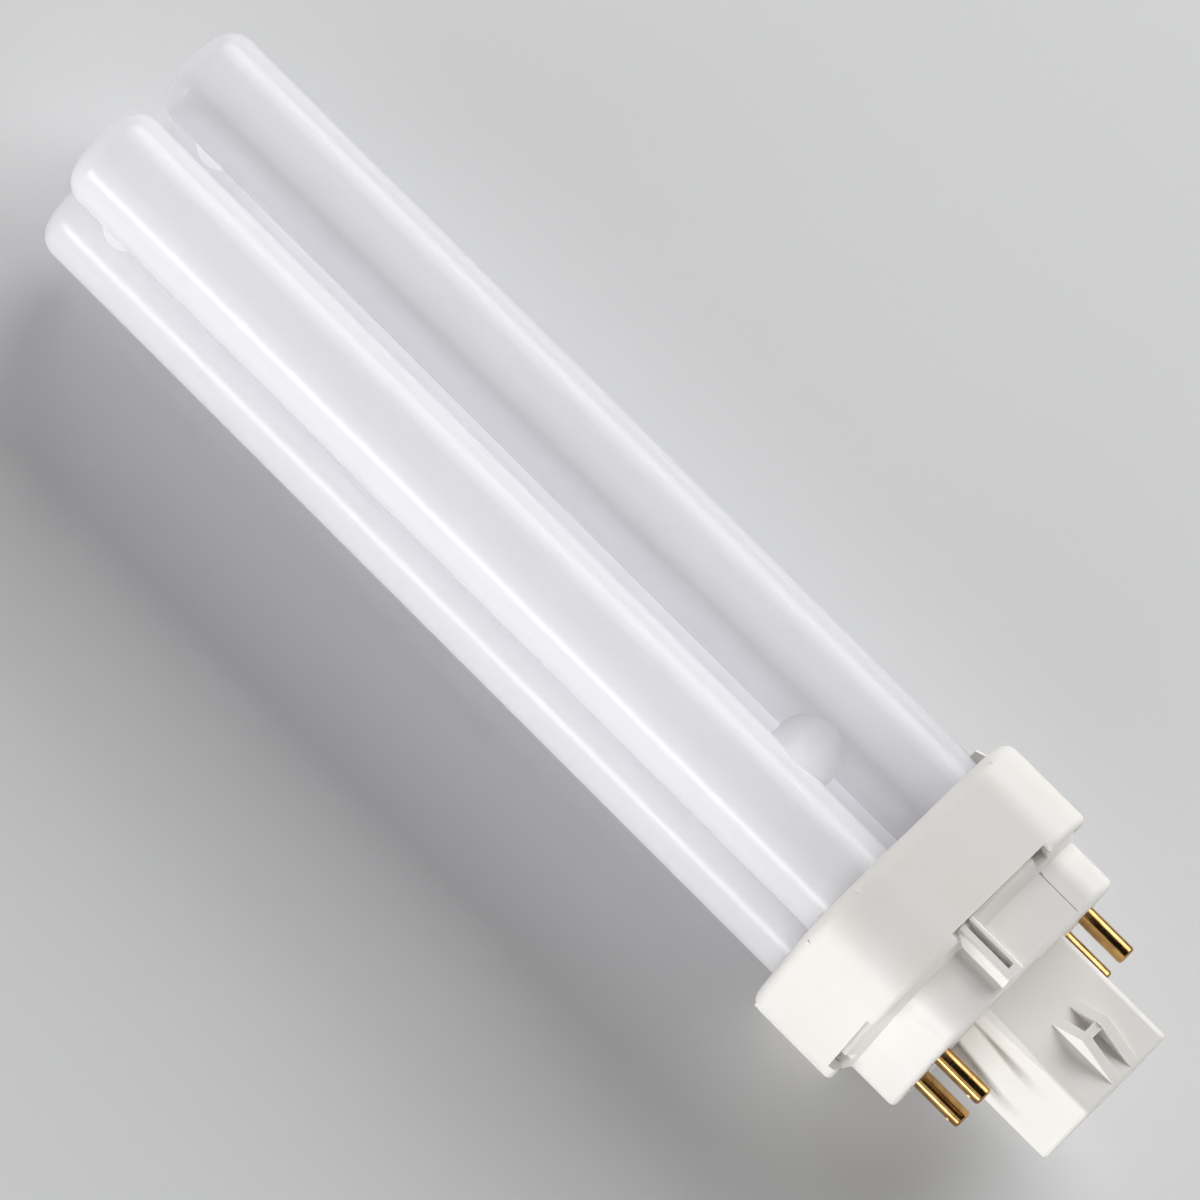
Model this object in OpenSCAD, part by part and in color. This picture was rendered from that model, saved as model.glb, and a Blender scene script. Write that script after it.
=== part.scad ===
// Square compact fluorescent lamp: four glass tubes joined into one folded discharge path, held
// in a square collar, with a plug-in cap that has a post, two keys and four hollow pins.
// The lamp lies on its side. X runs along its axis towards the plug, and Z is the normal of the
// side with the visible key. The origin is on the axis, on the end face of the cap's boss, which
// seats against the lamp holder.

/* [Tubes] */
// Outer diameter of a glass tube
tube_d = 12.2; // [11.6:0.1:12.8]
// Distance between the axes of neighbouring tubes
tube_pitch = 15; // [14.6:0.1:16]
// Length of the tubes in front of the collar
tube_reach = 116; // [60:1:160]
// Radius of the rounded edge at a tube's tip
tip_edge_r = 2.8; // [1.5:0.1:4]
// Radius of the shallow dome on a tube's tip
tip_dome_r = 14; // [9:0.5:30]
// Radius of the rounded edge at a tube's inner end
tube_end_r = 4; // [1:0.1:4.5]
// Length of a tube behind the top of the collar
tube_seat = 6.4; // [4:0.1:7]
// Diameter of the lower glass bridge at its waist
bridge_d = 8.2; // [5:0.1:8.4]
// Diameter of the two upper glass bridges at their waist
upper_bridge_d = 6.2; // [5:0.1:8.4]
// Radius of the arc along which a bridge widens from its waist into the tubes
bridge_flare_r = 18; // [17:1:40]
// Distance from the tips to the axis of the two upper bridges
upper_bridge_drop = 8; // [6:0.5:20]
// Distance from the collar to the axis of the lower bridge
lower_bridge_lift = 14.2; // [8:0.1:30]

/* [Electrode seals] */
// Width of the flat pinch seal
pinch_w = 6.4; // [4:0.1:8]
// Thickness of the pinch seal
pinch_t = 2.4; // [1.6:0.1:4]
// Length of the pinch seal behind the tube's inner end
pinch_l = 3.2; // [1.5:0.1:3.5]
// Distance between the two lead wires in a pinch seal
lead_gap = 3.2; // [1.5:0.1:4]
// Diameter of a lead wire
lead_d = 0.7; // [0.3:0.05:1]

/* [Collar] */
// Width across the flats of the collar
collar_w = 34.8; // [34:0.1:38]
// Height of the collar along the axis
collar_h = 12.4; // [11.5:0.1:16]
// Radius of the collar's corners
collar_corner_r = 9.6; // [7:0.1:11]
// Radius of the rounding round the top of the collar
collar_top_r = 1.8; // [0.4:0.1:2]
// Radius of the rounding round the rim of the skirt
rim_r = 0.8; // [0.2:0.1:1]
// Wall of the skirt
skirt_wall = 1.2; // [1:0.1:1.4]
// Thickness of the plate that holds the tubes
plate_t = 1.6; // [1.2:0.1:2.4]
// Wall of the sleeves round the tubes inside the collar
sleeve_wall = 1; // [0.6:0.1:1.4]
// Length of the sleeves below the plate
sleeve_l = 3.6; // [1:0.1:5]
// Depth of the cut-out in the rim on each side
cutout_h = 1.1; // [0.5:0.1:1.5]
// Width of the cut-out in the rim
cutout_w = 15.6; // [12:0.1:18]
// Distance of the cut-out's middle from the middle of its side
cutout_off = 0.7; // [0:0.1:1]
// Width of the ribs that the cap rests on
rib_w = 1.2; // [0.8:0.1:2]
// Height of the ribs on the inside of the skirt
rib_h = 1.4; // [0.8:0.1:1.8]
// Distance of the ribs from the middle of a side
rib_off = 10.4; // [9:0.1:10.8]

/* [Tube cement] */
// Clearance round a tube in its hole, filled with cement
cement_gap = 0.3; // [0.15:0.05:0.4]
// Height of the cement bead that stands above the collar
bead_h = 1.3; // [0.5:0.1:2]
// Thickness of the cement bead outside the tube
bead_t = 1.3; // [0.5:0.1:1.5]
// Angle that the bead covers round its tube
bead_angle = 44; // [20:1:90]
// Angle of the bead's middle, from the side that faces up down to the tube's outer side
bead_turn = 72; // [0:1:90]

/* [Cap] */
// Width across the flats of the boss
boss_w = 28.5; // [28.1:0.1:29]
// Height of the boss above its flange
boss_h = 6.4; // [6:0.1:8]
// Radius of the boss's corners
boss_corner_r = 5.6; // [4:0.1:6]
// Radius of the rounding round the end face of the boss
boss_edge_r = 0.8; // [0.2:0.1:0.9]
// Wall of the boss
boss_wall = 1.5; // [1.2:0.1:1.7]
// Thickness of the boss's end wall
face_t = 1.6; // [1.3:0.1:2.4]
// Thickness of the flange inside the skirt
flange_t = 2.2; // [1.8:0.1:2.6]
// Height of the sloping part of the flange
flange_slope = 1.2; // [0.6:0.1:1.4]
// How far the boss's root stands out of the skirt
rim_step = 0.65; // [0.4:0.05:0.8]
// Clearance between the flange and the skirt
fit_gap = 0.2; // [0.1:0.05:0.3]
// Width of the notch in the flange at one end of each cut-out
notch_w = 2; // [1:0.1:3]
// Depth of the notch in the flange
notch_d = 1.1; // [0.5:0.1:1.2]

/* [Keys] */
// Width of a key
key_w = 2.65; // [2.4:0.05:3.2]
// How far a key stands out of the boss
key_h = 2.2; // [1.5:0.1:2.4]
// Distance of a key from the middle of its side
key_off = 4.6; // [3:0.1:5.5]
// Radius of a key's outer edges
key_edge_r = 0.4; // [0.1:0.05:0.5]
// Width of the slot in a key
key_slot_w = 0.85; // [0.5:0.05:1]
// Depth of the slot in a key
key_slot_d = 1.5; // [0.5:0.1:2]
// Thickness of the key's wall on the side of the axis
key_lip = 0.7; // [0.5:0.05:0.9]
// Length of the key in front of the slot
key_nose = 1; // [0.6:0.1:2]
// Distance from the key's end to the boss's end face
key_setback = 0.3; // [0.1:0.05:1]

/* [Post] */
// Width of the post between the pins
post_w = 13.6; // [12:0.1:15]
// Width of the post across the catches' sides
post_d = 16.7; // [15:0.1:18]
// Length of the post from the boss's end face
post_l = 15.7; // [15.5:0.1:20]
// Radius of the post's corners
post_corner_r = 0.95; // [0.5:0.05:1.4]
// Radius of the rounding round the post's end
post_edge_r = 0.6; // [0.3:0.05:0.9]
// Wall of the post
post_wall = 1.4; // [1.2:0.1:1.8]
// Width of the hollow in each side of the post
hollow_w = 8.8; // [5:0.1:10]
// Depth of the hollow at its root
hollow_d = 0.9; // [0.3:0.1:1]
// Length of the hollow, over which it fades out
hollow_l = 7.6; // [3:0.1:12]
// Depth of the flat that eases the post's edges at the root
ease_d = 0.16; // [0.05:0.01:0.25]
// Length of the flat on the post's edges
ease_l = 9.6; // [4:0.1:12]
// Radius of the witness ring on the post's end
ring_r = 4.6; // [3:0.1:5.5]
// Radius of the gate's hollow in the middle of the post's end
gate_r = 1.6; // [0.8:0.1:2]
// Depth of the gate's hollow
gate_d = 0.25; // [0.1:0.05:0.4]
// Diameter of the stub that the gate leaves in its hollow
gate_stub_d = 0.7; // [0.4:0.1:1]

/* [Catches] */
// Width of a catch
catch_w = 4.2; // [3:0.1:5]
// Thickness of each of its two fins
fin_t = 1.2; // [0.8:0.1:1.4]
// Height of the fins
fin_h = 2.4; // [1:0.1:2.8]
// Distance from the boss's end face to where the fins start
fin_start = 6; // [4:0.1:7]
// Distance from the boss's end face to the fins' peak
fin_peak = 9.65; // [9:0.05:11]
// Distance from the boss's end face to where the fins end
fin_end = 15.3; // [13:0.1:15.4]
// Thickness of the web between the fins
web_t = 1.1; // [0.6:0.1:1.6]

/* [Pins] */
// Diameter of a contact pin
pin_d = 2.3; // [2:0.05:2.6]
// Bore of a contact pin
pin_bore = 1.5; // [1.1:0.05:1.6]
// Length of a pin in front of the boss's end face
pin_l = 6.5; // [5:0.1:8]
// Length of a pin inside the boss
pin_root = 5; // [3:0.1:5.2]
// Distance between the two pairs of pins
pin_span_y = 24; // [23.4:0.1:24.2]
// Distance between the pins of a pair
pin_span_z = 8.2; // [7.4:0.1:9]
// Radius of the rounded tip of a pin
pin_tip_r = 0.38; // [0.1:0.02:0.4]
// Diameter of the shoulder that stops a pin
shoulder_d = 3.3; // [2.9:0.05:3.6]
// Thickness of the shoulder
shoulder_t = 0.5; // [0.3:0.05:0.8]
// Wall of the sleeve round a pin inside the boss
pin_sleeve_wall = 0.9; // [0.6:0.05:0.95]
// Radius of the tool that stakes the lead wire in the pin
stake_r = 0.6; // [0.3:0.05:0.8]
// Depth of the dimple that the tool leaves
stake_depth = 0.22; // [0.1:0.01:0.3]
// Distance of the dimple from the pin's tip
stake_off = 1.35; // [1:0.05:2]

/* [Marks of the mould] */
// Depth of the witness marks on the cap
witness = 0.08; // [0.03:0.01:0.15]
// Width of the band on the end face, between the post and the boss's edge
band_w = 4.3; // [2:0.1:6]
// Radius of the ejector marks beside the pins
ejector_r = 1.63; // [1:0.01:1.8]
// Distance of the parting groove from the middle of the keyed side
groove_off = 6.8; // [6.4:0.1:8]
// Width of the parting groove
groove_w = 0.14; // [0.08:0.01:0.3]
// Radius of the pinhole at the root of the groove
groove_dot_r = 0.25; // [0.1:0.05:0.4]

/* [Hidden] */

// Facets of a full circle
fine = 96;
small = 48;
// Thin film of clearance between pieces that are bonded or pressed together
film = 0.02;
// How far a cut reaches past the surface that it opens
over = 0.5;
// Sides of a lead wire, and steps along its curve
wire_sides = 12;
wire_steps = 10;

// Places along the axis
flange_x = -boss_h;
flange_back_x = flange_x - flange_t;
rim_x = flange_x - rim_step;
cutout_x = rim_x - cutout_h;
collar_x = rim_x - collar_h;
plate_x = collar_x + plate_t;
tip_x = collar_x - tube_reach;
tube_end_x = collar_x + tube_seat;
pinch_end_x = tube_end_x + pinch_l;

// Half widths
collar_half = collar_w / 2;
skirt_half = collar_half - skirt_wall;
flange_half = skirt_half - fit_gap;
boss_half = boss_w / 2;
key_top = boss_half + key_h;

// Distance of the corner centres from the axis
collar_c = collar_half - collar_corner_r;
cap_c = boss_half - boss_corner_r;
post_cy = post_w / 2 - post_corner_r;
post_cz = post_d / 2 - post_corner_r;

tube_r = tube_d / 2;
tube_off = tube_pitch / 2;
hole_r = tube_r + cement_gap;
sleeve_r = pin_d / 2 + pin_sleeve_wall;
fin_y = (catch_w - fin_t) / 2;

// Signs of the four tubes in Y and Z. The last two hold the electrodes.
TUBES = [[1, 1], [-1, 1], [-1, -1], [1, -1]];
// Signs of the four pins in Y and Z
PINS = [[-1, 1], [-1, -1], [1, 1], [1, -1]];

// Turns a plan drawn in Y and Z, and its height, so that the height runs along X
module along_x(x = 0) {
    translate([x, 0, 0]) rotate([90, 0, 90]) children();
}

// Solid of rectangular plan with round corners. Its edge profile, whose origin is on a corner's
// centre, is turned a quarter at each corner and run straight along each side.
module edge_run(cy, cz, x0, x1) {
    for (i = [0 : 3])
        translate([0, [cy, -cy, -cy, cy][i], [cz, cz, -cz, -cz][i]])
            rotate([90 * i, 0, 0]) along_x() rotate_extrude(angle = 90, $fn = fine) children();
    rotate([180, 0, 90]) linear_extrude(2 * cz, center = true) both_edges(cy, x0, x1) children();
    rotate([0, -90, -90]) linear_extrude(2 * cy, center = true) both_edges(cz, x0, x1) children();
}

// The edge profile on both sides of a middle that reaches to the corners' centres
module both_edges(c, x0, x1) {
    translate([c, 0]) children();
    mirror([1, 0]) translate([c, 0]) children();
    translate([-c, x0]) square([2 * c, x1 - x0]);
}

// Edge profile from x0 to x1, with a rounding at each end
module round_edge(r, x0, x1, r0 = 0, r1 = 0) {
    translate([0, x0 + r0]) square([r, x1 - x0 - r0 - r1]);
    translate([0, x0]) square([r - max(r0, r1), x1 - x0]);
    if (r0 > 0) {
        translate([0, x0]) square([r - r0, r0]);
        translate([r - r0, x0 + r0]) mirror([0, 1]) quarter_round(r0);
    }
    if (r1 > 0) {
        translate([0, x1 - r1]) square([r - r1, r1]);
        translate([r - r1, x1 - r1]) quarter_round(r1);
    }
}

module quarter_round(r) {
    intersection() {
        circle(r, $fn = small);
        square(r);
    }
}

// Half section of a tube along the axis: a flat dome, a rounded edge, a wall and an inner end
module tube_section() {
    edge_c = tube_r - tip_edge_r;
    lean = asin(edge_c / (tip_dome_r - tip_edge_r));
    dome_lift = tip_dome_r - tip_edge_r;
    // Height of the edge arc's centre below the tip
    edge_drop = tip_dome_r - dome_lift * cos(lean);
    length = tube_end_x - tip_x;
    intersection() {
        translate([0, tip_dome_r]) circle(tip_dome_r, $fn = 4 * fine);
        polygon([[0, tip_dome_r], [0, -over],
                 [(tip_dome_r + over) * tan(lean), -over]]);
    }
    intersection() {
        union() {
            translate([edge_c, edge_drop]) circle(tip_edge_r, $fn = small);
            translate([0, edge_drop]) square([tube_r, length - edge_drop - tube_end_r]);
            translate([0, edge_drop]) square([tube_r - tube_end_r, length - edge_drop]);
            translate([tube_r - tube_end_r, length - tube_end_r]) circle(tube_end_r, $fn = small);
        }
        square([tube_r, length]);
    }
}

module tube() {
    translate([tip_x, 0, 0]) rotate([0, 90, 0]) rotate_extrude($fn = fine) tube_section();
}

// Waisted glass bridge along Z from the axis of one tube to the axis of its neighbour
module bridge(waist_d) {
    rotate_extrude($fn = fine) difference() {
        translate([0, -tube_off]) square([tube_r, tube_pitch]);
        translate([waist_d / 2 + bridge_flare_r, 0]) circle(bridge_flare_r, $fn = 4 * fine);
    }
}

module discharge_vessel() {
    color("white") {
        for (t = TUBES)
            translate([0, t[0] * tube_off, t[1] * tube_off]) tube();
        for (s = [-1, 1])
            translate([tip_x + upper_bridge_drop, s * tube_off, 0]) bridge(upper_bridge_d);
        translate([collar_x - lower_bridge_lift, 0, tube_off]) rotate([90, 0, 0]) bridge(bridge_d);
        for (s = [-1, 1])
            translate([tube_end_x - tube_end_r, s * tube_off - pinch_w / 2, -tube_off - pinch_t / 2])
                cube([tube_end_r + pinch_l, pinch_w, pinch_t]);
    }
}

module tube_holes(r, x0, x1) {
    for (t = TUBES)
        translate([x0, t[0] * tube_off, t[1] * tube_off]) rotate([0, 90, 0])
            cylinder(h = x1 - x0, r = r, $fn = fine);
}

module collar() {
    skirt_r = skirt_half - cap_c;
    color("whitesmoke") difference() {
        union() {
            difference() {
                edge_run(collar_c, collar_c, collar_x, rim_x)
                    round_edge(collar_corner_r, collar_x, rim_x, collar_top_r, rim_r);
                edge_run(cap_c, cap_c, plate_x, rim_x + over)
                    round_edge(skirt_r, plate_x, rim_x + over);
            }
            tube_holes(hole_r + sleeve_wall, plate_x - plate_t / 2, plate_x + sleeve_l);
            for (a = [0 : 90 : 270], s = [-1, 1])
                rotate([a, 0, 0])
                    translate([plate_x - plate_t / 2, s * rib_off - rib_w / 2, skirt_half - rib_h])
                        cube([flange_back_x - plate_x + plate_t / 2, rib_w, rib_h + skirt_wall / 2]);
        }
        tube_holes(hole_r, collar_x - over, plate_x + sleeve_l + over);
        for (a = [0 : 90 : 270])
            rotate([a, 0, 0]) translate([cutout_x, cutout_off - cutout_w / 2, skirt_half - over])
                cube([cutout_h + over, cutout_w, skirt_wall + 2 * over]);
    }
}

// Plan of a key, rounded at its outer edges
module key_plan() {
    translate([-key_w / 2, boss_half - over]) square([key_w, over + key_h - key_edge_r]);
    translate([key_edge_r - key_w / 2, boss_half]) square([key_w - 2 * key_edge_r, key_h]);
    for (s = [-1, 1])
        translate([s * (key_w / 2 - key_edge_r), key_top - key_edge_r])
            circle(key_edge_r, $fn = small);
}

module key() {
    x0 = cutout_x + film * 5;
    length = -key_setback - x0;
    translate([0, -key_off, 0]) difference() {
        along_x(x0) linear_extrude(length) key_plan();
        translate([x0 - over, key_w / 2 - key_lip - key_slot_w, key_top - key_slot_d])
            cube([length - key_nose + over, key_slot_w, key_slot_d + over]);
    }
}

// Two ridged fins joined by a web, on the side of the post that faces up
module catch() {
    base = post_d / 2;
    for (s = [-1, 1])
        translate([0, s * fin_y, 0]) rotate([90, 0, 0]) linear_extrude(fin_t, center = true)
            polygon([[fin_start, base - over], [fin_start, base], [fin_peak, base + fin_h],
                     [fin_end, base], [fin_end, base - over]]);
    translate([fin_peak - web_t / 2, -fin_y, base - over])
        cube([web_t, 2 * fin_y, fin_h + over - web_t / 2 * fin_h / (fin_peak - fin_start)]);
}

// Flats that ease the long edges of the post, deepest at the root
module edge_eases() {
    // How far the round corner lies below the sharp one
    drop = (sqrt(2) - 1) * post_corner_r;
    for (sy = [-1, 1], sz = [-1, 1])
        translate([0, sy * post_w / 2, sz * post_d / 2]) rotate([-45 * sy * sz + (sz < 0 ? 180 : 0), 0, 0])
            translate([0, 0, -drop - ease_d]) rotate([0, -atan(ease_d / ease_l), 0])
                translate([0, -post_corner_r, 0])
                    cube([ease_l, 2 * post_corner_r, drop + ease_d + over]);
}

module pin_places() {
    for (p = PINS)
        translate([0, p[0] * pin_span_y / 2, p[1] * pin_span_z / 2]) rotate([0, 90, 0]) children();
}

// Shallow hollow in the post's end, round the stub that the gate leaves
module gate_mark() {
    translate([post_l - gate_d, 0, 0]) rotate([0, 90, 0]) difference() {
        cylinder(h = gate_d + over, r = gate_r, $fn = small);
        translate([0, 0, -over])
            cylinder(h = gate_d + over, r1 = gate_stub_d / 2, r2 = gate_stub_d / 3, $fn = small);
    }
}

module cap_outside() {
    flange_r = flange_half - cap_c;
    slope_x = flange_x - flange_slope;
    edge_run(cap_c, cap_c, flange_back_x, 0) {
        union() {
            round_edge(boss_corner_r, flange_back_x, 0, 0, boss_edge_r);
            polygon([[0, flange_back_x], [flange_r, flange_back_x], [flange_r, slope_x],
                     [boss_corner_r, flange_x], [0, flange_x]]);
        }
    }
    edge_run(post_cy, post_cz, -face_t, post_l)
        round_edge(post_corner_r, -face_t, post_l, 0, post_edge_r);
    for (a = [0, 180]) rotate([a, 0, 0]) {
        key();
        catch();
    }
}

module cap_base() {
    inner_r = boss_corner_r - boss_wall;
    color("whitesmoke") difference() {
        union() {
            difference() {
                cap_outside();
                edge_run(cap_c, cap_c, flange_back_x - over, -face_t)
                    round_edge(inner_r, flange_back_x - over, -face_t);
                translate([-face_t - over, post_wall - post_w / 2, post_wall - post_d / 2])
                    cube([face_t + over + post_l - post_wall, post_w - 2 * post_wall,
                          post_d - 2 * post_wall]);
            }
            pin_places() translate([0, 0, -pin_root - shoulder_t])
                cylinder(h = pin_root + shoulder_t - face_t / 2, r = sleeve_r, $fn = small);
        }
        pin_places() translate([0, 0, flange_back_x - over])
            cylinder(h = -flange_back_x + 2 * over, r = pin_d / 2 + film, $fn = small);
        pin_places() translate([0, 0, -shoulder_t])
            cylinder(h = shoulder_t + over, r = shoulder_d / 2 + film, $fn = small);
        edge_eases();
        // Hollows in the sides of the post, deepest at the root
        for (a = [0, 180]) rotate([a, 0, 0]) translate([0, post_w / 2, 0])
            linear_extrude(hollow_w, center = true)
                polygon([[0, -hollow_d], [hollow_l, 0], [hollow_l, over], [0, over]]);
        // Notches in the flange beside two opposite corners
        for (a = [0, 180]) rotate([a, 0, 0]) {
            translate([flange_back_x - over, cutout_off + cutout_w / 2 - notch_w, flange_half - notch_d])
                cube([flange_t + over, notch_w, notch_d + over]);
            translate([flange_back_x - over, flange_half - notch_d, cutout_w / 2 - cutout_off - notch_w])
                cube([flange_t + over, notch_d + over, notch_w]);
        }
        // Witness marks: bands, ejector discs, a ring on the post and a parting groove
        for (s = [-1, 1]) {
            translate([-witness, -band_w / 2, s > 0 ? post_d / 2 : -boss_half - over])
                cube([witness + over, band_w, boss_half - post_d / 2 + over]);
            translate([-witness, s * pin_span_y / 2, 0]) rotate([0, 90, 0])
                cylinder(h = witness + over, r = ejector_r, $fn = small);
        }
        translate([post_l - witness, 0, 0]) rotate([0, 90, 0])
            cylinder(h = witness + over, r = ring_r, $fn = fine);
        gate_mark();
        for (a = [0, 180]) rotate([a, 0, 0]) {
            translate([flange_x, groove_off - groove_w / 2, boss_half - witness])
                cube([boss_h + over, groove_w, witness + over]);
            translate([flange_x + groove_dot_r, groove_off, boss_half - 2 * witness])
                cylinder(h = 2 * witness + over, r = groove_dot_r, $fn = small);
        }
    }
}

// Half section of a pin from its inner end to its tip, with the shoulder that seats it
module pin_section() {
    bore_r = pin_bore / 2;
    r = pin_d / 2;
    tip_c = r - pin_tip_r;
    difference() {
        union() {
            translate([0, -pin_root]) square([r, pin_root + pin_l - pin_tip_r]);
            translate([0, -pin_root]) square([tip_c, pin_root + pin_l]);
            translate([tip_c, pin_l - pin_tip_r]) circle(pin_tip_r, $fn = small);
            translate([0, -shoulder_t]) square([shoulder_d / 2, shoulder_t]);
        }
        translate([-over, -pin_root - over]) square([over + bore_r, pin_root + pin_l + 2 * over]);
    }
}

module contact_pin(i) {
    p = PINS[i];
    color("goldenrod") translate([0, p[0] * pin_span_y / 2, p[1] * pin_span_z / 2]) difference() {
        rotate([0, 90, 0]) rotate_extrude($fn = small) pin_section();
        // Dimple on the outer side, over the end of the lead wire
        translate([pin_l - stake_off, p[0] * (pin_d / 2 + stake_r - stake_depth), 0])
            sphere(stake_r, $fn = small);
    }
}

// Point at share t of the curve from a to b that leaves a and meets b along X
function curve(a, b, reach, t) = let (s = 1 - t)
    s * s * s * a + 3 * s * s * t * (a + [reach, 0, 0]) +
    3 * s * t * t * (b - [reach, 0, 0]) + t * t * t * b;

function unit(v) = v / norm(v);

// Ring of points round point i of a route, square to the route there
function ring(route, i) = let (
        last = len(route) - 1,
        along = unit(route[min(i + 1, last)] - route[max(i - 1, 0)]),
        side = unit(cross(along, [0, 1, 0])),
        up = cross(side, along))
    [for (k = [0 : wire_sides - 1]) let (a = 360 * k / wire_sides)
        route[i] + lead_d / 2 * (cos(a) * side + sin(a) * up)];

// Round wire swept along a route of points
module swept_wire(route) {
    rings = [for (i = [0 : len(route) - 1]) each ring(route, i)];
    top = len(rings) - wire_sides;
    polyhedron(rings, concat(
        [[for (k = [0 : wire_sides - 1]) k]],
        [for (i = [0 : len(route) - 2], k = [0 : wire_sides - 1])
            let (a = i * wire_sides + k, b = i * wire_sides + (k + 1) % wire_sides)
            [a, a + wire_sides, b + wire_sides, b]],
        [[for (k = [wire_sides - 1 : -1 : 0]) top + k]]));
}

// Lead wire from the pinch seal of the tube beside the pin, over to the pin and up its bore
module lead_wire(i) {
    p = PINS[i];
    y = p[0] * pin_span_y / 2;
    z = p[1] * pin_span_z / 2;
    seal = [pinch_end_x + film, p[0] * tube_off - p[0] * p[1] * lead_gap / 2, -tube_off];
    stub = seal + [lead_d / 2, 0, 0];
    mouth = [-pin_root, y, z];
    end = [pin_l - stake_off - stake_r, y, z];
    color("silver") swept_wire(concat([seal],
        [for (k = [0 : wire_steps]) curve(stub, mouth, mouth[0] - stub[0], k / wire_steps)], [end]));
}

// Ring of cement between a tube and the collar. The first tube has a bead that stands proud.
module tube_cement(i) {
    t = TUBES[i];
    color("ivory") translate([collar_x, t[0] * tube_off, t[1] * tube_off]) rotate([0, -90, 0])
        if (i == 0) beaded_ring();
        else rotate_extrude($fn = fine) ring_section(-cement_gap);
}

// Section of the cement in the gap round a tube, from the sleeve up to a height
module ring_section(top) {
    translate([tube_r + film, -plate_t]) square([cement_gap - 2 * film, plate_t + top]);
}

// Ring with a bead on the outer side of its tube, which narrows away from the collar
module beaded_ring() {
    difference() {
        rotate_extrude($fn = fine) {
            ring_section(film);
            polygon([[tube_r + film, film], [tube_r + bead_t, film],
                     [tube_r + 0.7 * bead_t, bead_h], [tube_r + film, bead_h]]);
        }
        // Cut away all of the bead but its arc
        for (s = [-1, 1])
            rotate([0, 0, bead_turn + s * bead_angle / 2]) translate([-tube_d, s > 0 ? 0 : -2 * tube_d, film])
                cube([2 * tube_d, 2 * tube_d, bead_h + over]);
    }
}

discharge_vessel();
collar();
cap_base();
contact_pin(0);  // contact_pin_1
contact_pin(1);  // contact_pin_2
contact_pin(2);  // contact_pin_3
contact_pin(3);  // contact_pin_4
lead_wire(0);  // lead_wire_1
lead_wire(1);  // lead_wire_2
lead_wire(2);  // lead_wire_3
lead_wire(3);  // lead_wire_4
tube_cement(0);  // tube_cement_1
tube_cement(1);  // tube_cement_2
tube_cement(2);  // tube_cement_3
tube_cement(3);  // tube_cement_4
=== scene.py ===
# Looks of the square compact fluorescent lamp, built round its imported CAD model.
import math

import bpy
from mathutils import Matrix, Vector


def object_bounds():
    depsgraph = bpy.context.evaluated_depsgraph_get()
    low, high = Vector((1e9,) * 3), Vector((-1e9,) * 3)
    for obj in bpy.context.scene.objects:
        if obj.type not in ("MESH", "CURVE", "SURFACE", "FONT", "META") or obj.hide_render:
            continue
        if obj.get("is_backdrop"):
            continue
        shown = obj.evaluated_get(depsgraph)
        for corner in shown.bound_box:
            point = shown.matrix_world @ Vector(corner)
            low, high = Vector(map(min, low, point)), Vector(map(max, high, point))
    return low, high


mm = 0.001

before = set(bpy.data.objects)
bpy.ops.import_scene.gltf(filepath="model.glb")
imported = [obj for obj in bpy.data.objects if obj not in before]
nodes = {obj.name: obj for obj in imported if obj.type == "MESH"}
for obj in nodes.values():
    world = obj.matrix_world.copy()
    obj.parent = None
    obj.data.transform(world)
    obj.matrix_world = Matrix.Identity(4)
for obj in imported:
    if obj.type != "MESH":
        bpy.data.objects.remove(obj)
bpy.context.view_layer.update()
print("frame loaded:", len(nodes), "nodes")


# Camera, as the lamp was photographed: from above, leaning towards the -Y side.
camera = {
    "place": (23.03, -420.77, 907.09),  # mm in the row frame
    "aim": (-61.76, -0.45, 0.0),        # mm; what lies in the middle of the picture
    "roll": 44.9,                       # degrees from the picture's right down to the lamp's axis
    "focal": 9170.0,                    # in pixels of the 1200-pixel frame
    "frame": 1200.0,
    "sensor": 36.0,                     # mm
    "near": 0.05,                       # metres, as is far
    "far": 20.0,
}


def makeCamera(c):
    place = Vector(c["place"]) * mm
    back = (place - Vector(c["aim"]) * mm).normalized()
    along = (Vector((1, 0, 0)) - back * back.x).normalized()
    across = back.cross(along)
    roll = math.radians(c["roll"])
    right = along * math.cos(roll) + across * math.sin(roll)
    up = across * math.cos(roll) - along * math.sin(roll)
    lens = bpy.data.cameras.new("lampCamera")
    lens.sensor_width = c["sensor"]
    lens.lens = c["sensor"] * c["focal"] / c["frame"]
    lens.clip_start = c["near"]
    lens.clip_end = c["far"]
    holder = bpy.data.objects.new("lampCamera", lens)
    bpy.context.scene.collection.objects.link(holder)
    turn = Matrix((right, up, back)).transposed()
    holder.matrix_world = Matrix.Translation(place) @ turn.to_4x4()
    bpy.context.scene.camera = holder


makeCamera(camera)
print("camera made")


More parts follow.
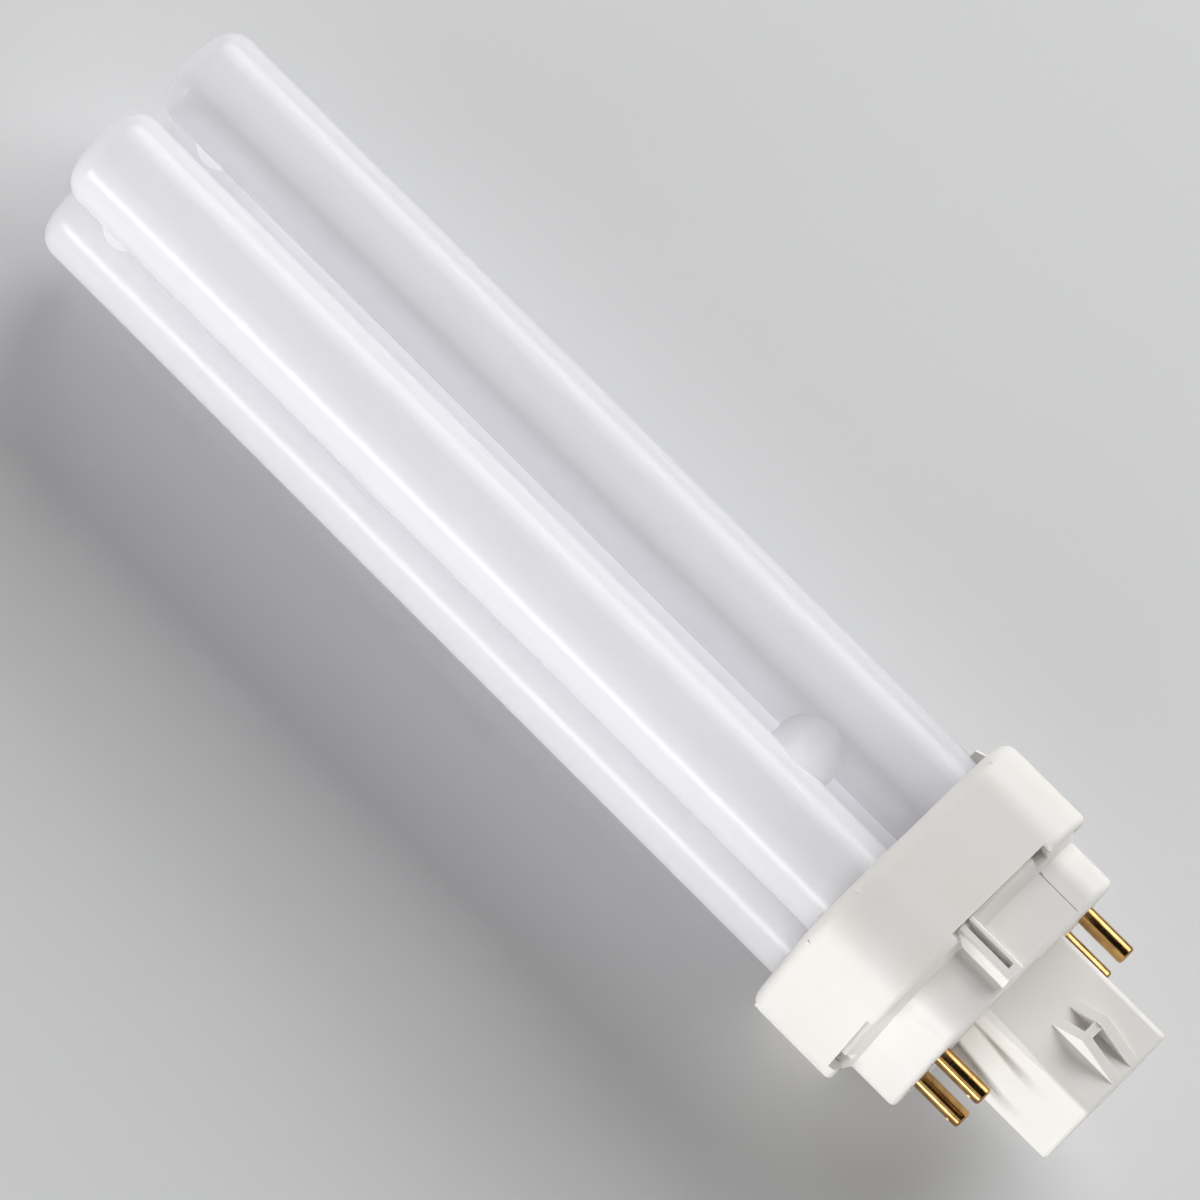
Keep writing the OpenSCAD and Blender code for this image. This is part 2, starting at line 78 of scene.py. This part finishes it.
# One material. Its nodes are added by kind and joined socket to socket. The dictionaries below
# give a noise as scale, detail, roughness and, where it is drawn out, a stretch for each axis.
# They give a span as its lowest and highest result, then the noise's range where it isn't 0 to 1.
class Finish:
    def __init__(self, name):
        self.material = bpy.data.materials.new(name)
        self.material.use_nodes = True
        self.tree = self.material.node_tree
        self.shader = self.tree.nodes["Principled BSDF"]
        self.place = self.tree.nodes.new("ShaderNodeTexCoord").outputs["Object"]

    def node(self, kind):
        return self.tree.nodes.new("ShaderNode" + kind)

    def join(self, source, target):
        self.tree.links.new(source, target)

    def noise(self, scale, detail, roughness, stretch=None):
        # Noise over the piece's own place in metres. A small number in stretch draws it out on that axis.
        made = self.node("TexNoise")
        made.inputs["Scale"].default_value = scale
        made.inputs["Detail"].default_value = detail
        made.inputs["Roughness"].default_value = roughness
        source = self.place
        if stretch:
            mapping = self.node("Mapping")
            mapping.inputs["Scale"].default_value = stretch
            self.join(source, mapping.inputs["Vector"])
            source = mapping.outputs["Vector"]
        self.join(source, made.inputs["Vector"])
        return made.outputs["Fac"]

    def span(self, source, low, high, fromLow=0.0, fromHigh=1.0):
        # Stretches the range fromLow to fromHigh over low to high.
        made = self.node("MapRange")
        made.inputs["From Min"].default_value = fromLow
        made.inputs["From Max"].default_value = fromHigh
        made.inputs["To Min"].default_value = low
        made.inputs["To Max"].default_value = high
        self.join(source, made.inputs["Value"])
        return made.outputs["Result"]

    def mix(self, share, first, second):
        # The Mix node has a set of sockets for each kind of data: 0, 6 and 7 in and 2 out are colour's.
        made = self.node("Mix")
        made.data_type = "RGBA"
        for socket, value in ((0, share), (6, first), (7, second)):
            if isinstance(value, tuple):
                made.inputs[socket].default_value = (*value, 1)
            else:
                self.join(value, made.inputs[socket])
        return made.outputs[2]

    def bump(self, height, distance):
        made = self.node("Bump")
        made.inputs["Strength"].default_value = 1.0
        made.inputs["Distance"].default_value = distance
        self.join(height, made.inputs["Height"])
        return made.outputs["Normal"]

    def give(self, values):
        for socket, value in values.items():
            self.shader.inputs[socket].default_value = value

    def drive(self, socket, source):
        self.join(source, self.shader.inputs[socket])


# Glass tubes: clear glass over a white powder coat, which sends back about half of the light
# and lets the rest through to the inside of the tube and out again.
glass = {
    "coat": (0.968, 0.965, 0.985),    # colour of the powder seen through the glass
    "thin": (0.935, 0.93, 0.96),      # where the powder lies thinner
    "inside": (0.978, 0.974, 0.99),   # tint of the light that goes through
    "through": 0.52,                  # share of the light that goes through
    "clouds": (110, 4, 0.55, (0.3, 1, 1)),
    "streaks": (700, 3, 0.6, (0.03, 1, 1)),
    "thinInStreaks": (0, 0.5),
    "thinInClouds": (0, 0.7, 0.35, 0.75),
    "rough": (0.26, 0.36),            # of the powder, under the glass
    "shine": {"Coat Weight": 1.0, "Coat Roughness": 0.25, "Coat IOR": 1.5, "Specular IOR Level": 0.2},
}


def makeGlass(g):
    f = Finish("phosphorGlass")
    cloud = f.noise(*g["clouds"])
    streak = f.noise(*g["streaks"])
    tone = f.mix(f.span(streak, *g["thinInStreaks"]), g["coat"], g["thin"])
    tone = f.mix(f.span(cloud, *g["thinInClouds"]), tone, g["thin"])
    f.drive("Base Color", tone)
    f.drive("Roughness", f.span(cloud, *g["rough"]))
    f.give(g["shine"])
    thin = f.node("BsdfTranslucent")
    thin.inputs["Color"].default_value = (*g["inside"], 1)
    both = f.node("MixShader")
    both.inputs["Fac"].default_value = g["through"]
    f.join(f.shader.outputs["BSDF"], both.inputs[1])
    f.join(thin.outputs["BSDF"], both.inputs[2])
    f.join(both.outputs["Shader"], f.tree.nodes["Material Output"].inputs["Surface"])
    return f.material


# Moulded plastic of the collar and the cap: faint clouds of a warmer tone and a fine grain.
plastic = {
    "white": (0.835, 0.817, 0.788),
    "warm": (0.812, 0.784, 0.748),
    "clouds": (90, 3, 0.5),
    "warmInClouds": (0, 1, 0.3, 0.7),
    "rough": (0.37, 0.48),
    "grain": (5200, 2, 0.5),
    "grainHeight": 0.00001,           # metres
    "shine": {
        "Subsurface Weight": 0.15,
        "Subsurface Scale": 0.001,
        "Subsurface Radius": (1.0, 1.0, 1.0),
        "Specular IOR Level": 0.45,
    },
}


def makePlastic(p):
    f = Finish("whitePlastic")
    cloud = f.noise(*p["clouds"])
    f.drive("Base Color", f.mix(f.span(cloud, *p["warmInClouds"]), p["white"], p["warm"]))
    f.drive("Roughness", f.span(cloud, *p["rough"]))
    f.drive("Normal", f.bump(f.noise(*p["grain"]), p["grainHeight"]))
    f.give(p["shine"])
    return f.material


# Brass contact pins, with fine turning lines round them.
brass = {
    "bright": (0.56, 0.345, 0.13),
    "dull": (0.3, 0.165, 0.06),
    "clouds": (700, 3, 0.5),
    "dullInClouds": (0, 1, 0.35, 0.75),
    "lines": (9000, 2, 0.5, (1, 0.05, 0.05)),
    "lineHeight": 0.000004,           # metres
    "rough": (0.14, 0.32),
    "shine": {"Metallic": 1.0},
}


def makeBrass(b):
    f = Finish("brass")
    cloud = f.noise(*b["clouds"])
    lines = f.noise(*b["lines"])
    f.drive("Base Color", f.mix(f.span(cloud, *b["dullInClouds"]), b["bright"], b["dull"]))
    f.drive("Roughness", f.span(lines, *b["rough"]))
    f.drive("Normal", f.bump(lines, b["lineHeight"]))
    f.give(b["shine"])
    return f.material


# Bare lead wires in the pins and inside the cap.
wire = {
    "bright": (0.62, 0.58, 0.53),
    "dull": (0.42, 0.38, 0.34),
    "clouds": (1500, 2, 0.5),
    "rough": (0.25, 0.45),
    "shine": {"Metallic": 1.0},
}


def makeWire(w):
    f = Finish("leadWire")
    cloud = f.noise(*w["clouds"])
    f.drive("Base Color", f.mix(cloud, w["bright"], w["dull"]))
    f.drive("Roughness", f.span(cloud, *w["rough"]))
    f.give(w["shine"])
    return f.material


# Cement between the tubes and the collar.
cement = {
    "pale": (0.86, 0.85, 0.82),
    "dark": (0.76, 0.745, 0.71),
    "grain": (2600, 4, 0.65),
    "grainHeight": 0.00006,           # metres
    "shine": {"Roughness": 0.85, "Specular IOR Level": 0.25},
}


def makeCement(c):
    f = Finish("lampCement")
    grain = f.noise(*c["grain"])
    f.drive("Base Color", f.mix(grain, c["pale"], c["dark"]))
    f.drive("Normal", f.bump(grain, c["grainHeight"]))
    f.give(c["shine"])
    return f.material


def paint(names, material):
    for name in names:
        for slot in nodes[name].material_slots:
            slot.material = material


four = range(1, 5)
paint(["discharge_vessel"], makeGlass(glass))
paint(["collar", "cap_base"], makePlastic(plastic))
paint([f"contact_pin_{i}" for i in four], makeBrass(brass))
paint([f"lead_wire_{i}" for i in four], makeWire(wire))
paint([f"tube_cement_{i}" for i in four], makeCement(cement))
print("materials made")


# Floor and softboxes. The softboxes stand round the lamp and leave the camera's side dark.
studio = {
    "floor": (0.74, 0.745, 0.75),
    "floorShine": {"Roughness": 0.9, "Specular IOR Level": 0.1},
    "floorSize": 4.0,                 # metres
    "worldColour": (1.0, 1.0, 1.0),
    "world": 0.0,                     # strength: the softboxes alone light the lamp
    "middle": (-0.06, 0.0, 0.0),      # what each softbox faces, in metres
    "softboxes": {
        # name: (bearing from +Y round to -X, height in degrees, distance, width, height in metres, watts)
        "left": (180, 5, 1.0, 1.4, 0.18, 10.5),
        "leftHigh": (180, 34, 1.0, 1.4, 0.36, 1.6),
        "right": (0, 30, 1.0, 1.4, 0.36, 8.0),
        "rightHigh": (0, 50, 1.0, 1.4, 0.36, 5.0),
        "plugEnd": (270, 12, 1.0, 1.2, 0.4, 1.3),
        "tipEnd": (90, 12, 1.1, 1.2, 0.4, 2.1),
    },
}


def makeFloor(s):
    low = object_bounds()[0]
    half = s["floorSize"] / 2
    corners = [(-half, -half, low.z), (half, -half, low.z), (half, half, low.z), (-half, half, low.z)]
    mesh = bpy.data.meshes.new("floor")
    mesh.from_pydata(corners, [], [(0, 1, 2, 3)])
    floor = bpy.data.objects.new("floor", mesh)
    bpy.context.scene.collection.objects.link(floor)
    f = Finish("paleFloor")
    f.give({"Base Color": (*s["floor"], 1)})
    f.give(s["floorShine"])
    mesh.materials.append(f.material)
    floor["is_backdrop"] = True


def makeLights(s):
    middle = Vector(s["middle"])
    for name, (bearing, rise, away, wide, high, watts) in s["softboxes"].items():
        turn = math.radians(bearing)
        lift = math.radians(rise)
        reach = away * math.cos(lift)
        place = middle + Vector((-math.sin(turn) * reach, math.cos(turn) * reach, away * math.sin(lift)))
        lamp = bpy.data.lights.new(name + "Softbox", "AREA")
        lamp.shape = "RECTANGLE"
        lamp.size = wide
        lamp.size_y = high
        lamp.energy = watts
        holder = bpy.data.objects.new(name + "Softbox", lamp)
        bpy.context.scene.collection.objects.link(holder)
        holder.location = place
        holder.rotation_euler = (middle - place).to_track_quat("-Z", "Y").to_euler()


def makeWorld(s):
    world = bpy.data.worlds.new("studio")
    bpy.context.scene.world = world
    world.use_nodes = True
    background = world.node_tree.nodes["Background"]
    background.inputs["Color"].default_value = (*s["worldColour"], 1)
    background.inputs["Strength"].default_value = s["world"]


makeFloor(studio)
makeLights(studio)
makeWorld(studio)
bpy.context.scene.view_settings.view_transform = "Standard"
print("floor and lights made")
